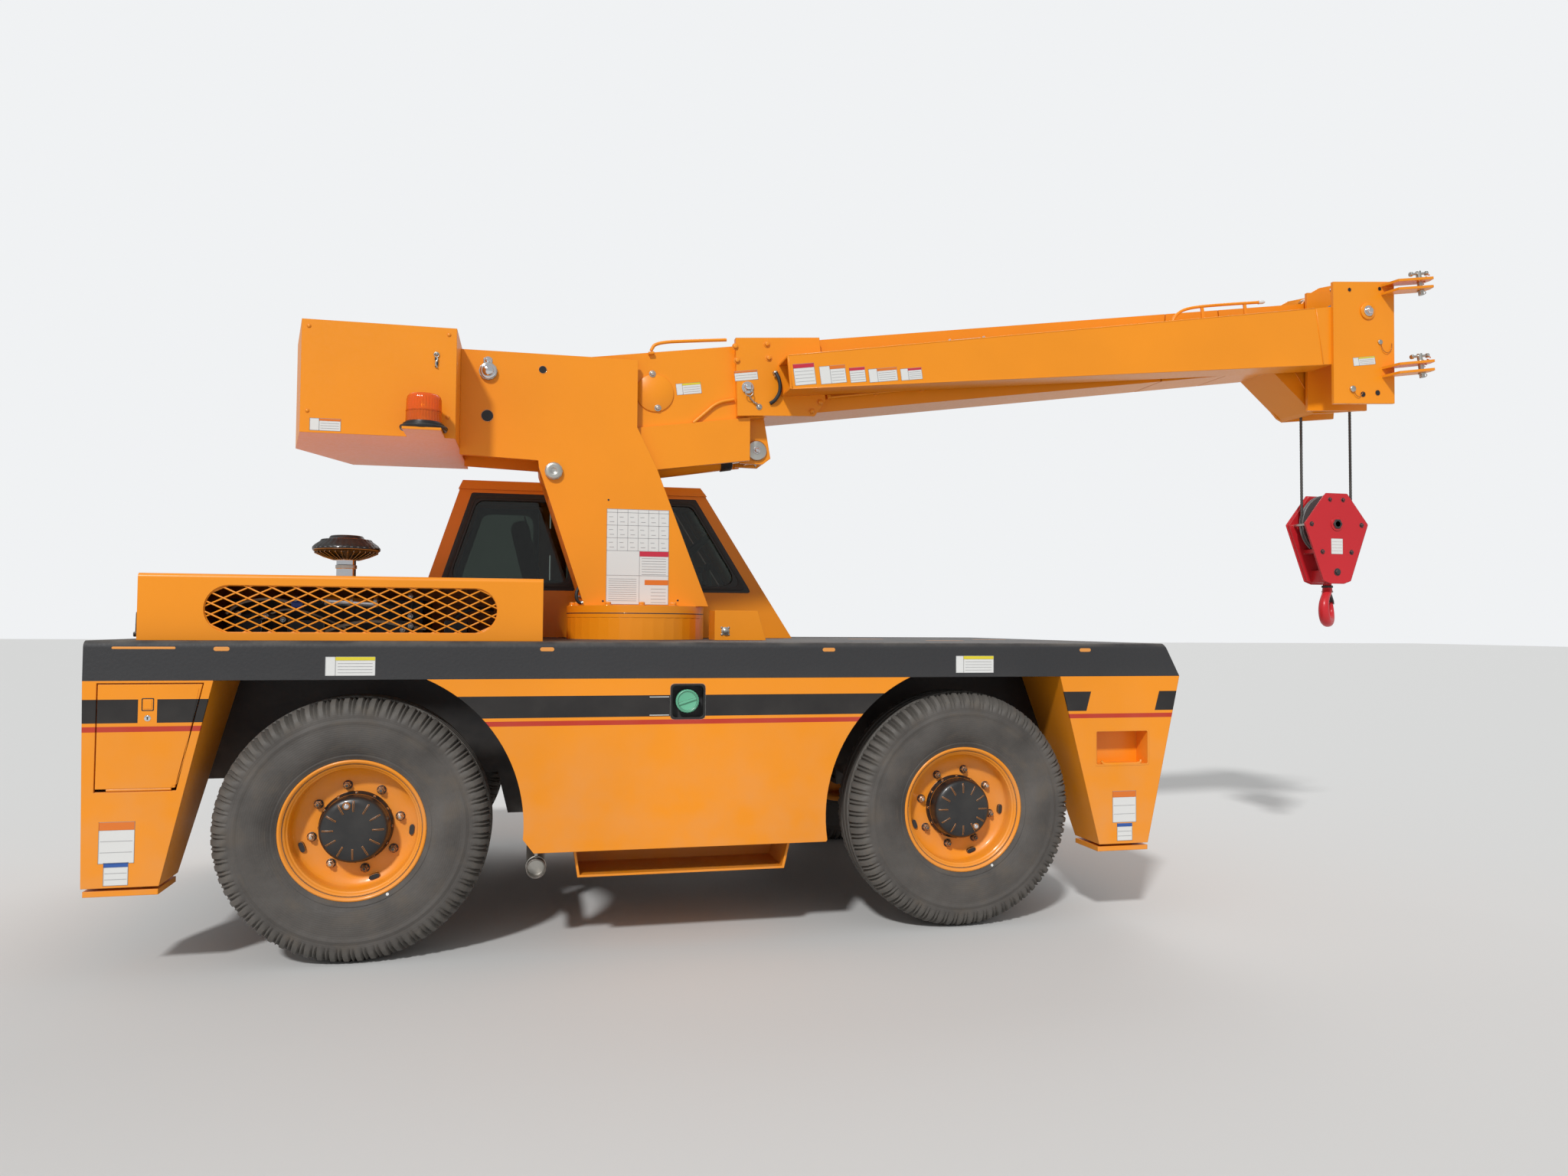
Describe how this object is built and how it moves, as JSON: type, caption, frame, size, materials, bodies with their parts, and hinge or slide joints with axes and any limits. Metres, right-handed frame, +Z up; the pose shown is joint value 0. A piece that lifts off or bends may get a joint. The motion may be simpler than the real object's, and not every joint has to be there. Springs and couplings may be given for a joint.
{
  "type": "industrial carry-deck crane",
  "caption": "Low carry-deck crane: four-wheel carrier with flat deck, side cab, swing turret, telescopic box boom, stowed extension, hook block and box outriggers",
  "frame": {"origin": "on the floor under the middle of the whole crane's bounding box", "axes": "+X forward over the hook, +Y to the carrier's left, +Z up"},
  "size_m": [5.5502, 1.98, 2.8685],
  "materials": {
    "safety_paint": "gloss orange-yellow enamel",
    "deck_black": "black anti-slip coating",
    "dark_metal": "black paint on castings",
    "engine_paint": "dark engine enamel",
    "lamp_glass": "lamp lens",
    "black_plastic": "moulded black plastic",
    "steel_pipe": "plain steel pipe",
    "cab_glass": "tinted safety glass",
    "seat_vinyl": "black vinyl",
    "tyre": "ribbed shoulder tyre",
    "beacon_lens": "orange lens",
    "pin_steel": "plated steel",
    "rod_chrome": "hard chrome",
    "rope_steel": "greased wire rope",
    "hook_red": "gloss red enamel",
    "sheave_grey": "machined cast iron"
  },
  "bodies": {
    "chassis": {"main_frame": "dark_metal", "deck": "deck_black", "side_skirts": "safety_paint", "fuel_filler": "dark_metal", "outrigger_housings": "safety_paint", "end_bulkheads": "safety_paint", "lamps": "lamp_glass", "engine_hood": "safety_paint", "hood_grille": "safety_paint", "engine_block": "engine_paint", "air_precleaner": "black_plastic", "side_steps": "safety_paint", "exhaust_pipe": "steel_pipe", "axles": "dark_metal", "cab_shell": "safety_paint", "cab_roof": "safety_paint", "cab_glass": "cab_glass", "cab_seat": "seat_vinyl", "cab_controls": "black_plastic", "swing_ring": "safety_paint", "swing_drive": "safety_paint"},
    "storage_door": {"storage_door": "safety_paint"},
    "cab_door": {"cab_door": "safety_paint", "cab_door_glass": "cab_glass"},
    "turret": {"turret": "safety_paint", "turret_pins": "pin_steel", "tail_box": "safety_paint", "beacon": "beacon_lens"},
    "lift_barrel": {"lift_barrel": "safety_paint"},
    "lift_rod": {"lift_rod": "rod_chrome"},
    "boom": {"boom_base": "safety_paint", "stow_bracket": "safety_paint", "boom_extension": "safety_paint", "tee_pins": "pin_steel"},
    "boom_second": {"boom_second": "safety_paint"},
    "boom_head": {"boom_head": "safety_paint", "head_sheave": "sheave_grey", "rope_lead": "rope_steel"},
    "falls": {"rope_falls": "rope_steel"},
    "hook_block": {"hook_block": "hook_red", "block_sheave": "sheave_grey"},
    "hook": {"hook": "hook_red"},
    "leg_front_right": {"leg_front_right": "safety_paint"},
    "knuckle_front_right": {"knuckle_front_right": "dark_metal"},
    "wheel_front_right": {"wheel_front_right": "safety_paint", "tyre_front_right": "tyre"},
    "leg_front_left": {"leg_front_left": "safety_paint"},
    "knuckle_front_left": {"knuckle_front_left": "dark_metal"},
    "wheel_front_left": {"wheel_front_left": "safety_paint", "tyre_front_left": "tyre"},
    "leg_rear_right": {"leg_rear_right": "safety_paint"},
    "knuckle_rear_right": {"knuckle_rear_right": "dark_metal"},
    "wheel_rear_right": {"wheel_rear_right": "safety_paint", "tyre_rear_right": "tyre"},
    "leg_rear_left": {"leg_rear_left": "safety_paint"},
    "knuckle_rear_left": {"knuckle_rear_left": "dark_metal"},
    "wheel_rear_left": {"wheel_rear_left": "safety_paint", "tyre_rear_left": "tyre"}
  },
  "joints": [
    {"name": "swing", "type": "hinge", "parent": "chassis", "child": "turret", "pos_m": [-0.96608, -0.16, 1.168], "axis": [0, 0, 1], "continuous": true},
    {"name": "boom_lift", "type": "hinge", "parent": "turret", "child": "boom", "pos_m": [-1.58508, -0.16, 2.158], "axis": [0, -1, 0], "range_deg": [-2, 70]},
    {"name": "lift_cylinder_tilt", "type": "hinge", "parent": "turret", "child": "lift_barrel", "pos_m": [-1.32107, -0.16, 1.764], "axis": [0, -1, 0], "range_deg": [-2.2, 68.5]},
    {"name": "lift_rod_slide", "type": "slide", "parent": "lift_barrel", "child": "lift_rod", "axis": [0.9876, 0, 0.1571], "range_m": [-0.017, 0.566]},
    {"name": "boom_second_slide", "type": "slide", "parent": "boom", "child": "boom_second", "axis": [0.9903, 0, 0.1392], "range_m": [0, 2.4]},
    {"name": "boom_head_slide", "type": "slide", "parent": "boom_second", "child": "boom_head", "axis": [0.9903, 0, 0.1392], "range_m": [0, 2.4]},
    {"name": "hook_hang", "type": "hinge", "parent": "boom_head", "child": "falls", "pos_m": [2.49803, -0.16, 2.25], "axis": [0, -1, 0], "range_deg": [-70.5, 2.5]},
    {"name": "hoist", "type": "slide", "parent": "falls", "child": "hook_block", "axis": [0, 0, -1], "range_m": [-0.15, 1], "deforming": ["rope_falls"]},
    {"name": "hook_swivel", "type": "hinge", "parent": "hook_block", "child": "hook", "pos_m": [2.49803, -0.16, 1.372], "axis": [0, 0, 1], "continuous": true},
    {"name": "storage_door_hinge", "type": "hinge", "parent": "chassis", "child": "storage_door", "pos_m": [-2.61508, -0.985, 0.606], "axis": [1, 0, 0], "range_deg": [0, 100]},
    {"name": "cab_door_hinge", "type": "hinge", "parent": "chassis", "child": "cab_door", "pos_m": [-1.31307, 0.9773, 1.4], "axis": [0, 0, 1], "range_deg": [0, 75]},
    {"name": "leg_front_right_slide", "type": "slide", "parent": "chassis", "child": "leg_front_right", "axis": [0, -0.2079, -0.9781], "range_m": [0, 0.32]},
    {"name": "steer_front_right", "type": "hinge", "parent": "chassis", "child": "knuckle_front_right", "pos_m": [0.21093, -0.7, 0.446], "axis": [0, 0, 1], "range_deg": [-20, 20]},
    {"name": "roll_front_right", "type": "hinge", "parent": "knuckle_front_right", "child": "wheel_front_right", "pos_m": [0.21093, -0.84, 0.446], "axis": [0, 1, 0], "continuous": true},
    {"name": "leg_front_left_slide", "type": "slide", "parent": "chassis", "child": "leg_front_left", "axis": [0, 0.2079, -0.9781], "range_m": [0, 0.32]},
    {"name": "steer_front_left", "type": "hinge", "parent": "chassis", "child": "knuckle_front_left", "pos_m": [0.21093, 0.7, 0.446], "axis": [0, 0, 1], "range_deg": [-20, 20]},
    {"name": "roll_front_left", "type": "hinge", "parent": "knuckle_front_left", "child": "wheel_front_left", "pos_m": [0.21093, 0.84, 0.446], "axis": [0, 1, 0], "continuous": true},
    {"name": "leg_rear_right_slide", "type": "slide", "parent": "chassis", "child": "leg_rear_right", "axis": [0, -0.2079, -0.9781], "range_m": [0, 0.32]},
    {"name": "steer_rear_right", "type": "hinge", "parent": "chassis", "child": "knuckle_rear_right", "pos_m": [-1.97107, -0.7, 0.446], "axis": [0, 0, 1], "range_deg": [-20, 20]},
    {"name": "roll_rear_right", "type": "hinge", "parent": "knuckle_rear_right", "child": "wheel_rear_right", "pos_m": [-1.97107, -0.84, 0.446], "axis": [0, 1, 0], "continuous": true},
    {"name": "leg_rear_left_slide", "type": "slide", "parent": "chassis", "child": "leg_rear_left", "axis": [0, 0.2079, -0.9781], "range_m": [0, 0.32]},
    {"name": "steer_rear_left", "type": "hinge", "parent": "chassis", "child": "knuckle_rear_left", "pos_m": [-1.97107, 0.7, 0.446], "axis": [0, 0, 1], "range_deg": [-20, 20]},
    {"name": "roll_rear_left", "type": "hinge", "parent": "knuckle_rear_left", "child": "wheel_rear_left", "pos_m": [-1.97107, 0.84, 0.446], "axis": [0, 1, 0], "continuous": true}
  ],
  "couplings": [
    {"joint": "lift_cylinder_tilt", "follows": "boom_lift", "ratio": 0.974},
    {"joint": "lift_rod_slide", "follows": "boom_lift", "m_per_rad": 0.46},
    {"joint": "hook_hang", "follows": "boom_lift", "ratio": -1},
    {"joint": "boom_head_slide", "follows": "boom_second_slide", "ratio": 1},
    {"joint": "steer_front_left", "follows": "steer_front_right", "ratio": 1},
    {"joint": "steer_rear_left", "follows": "steer_rear_right", "ratio": 1}
  ]
}
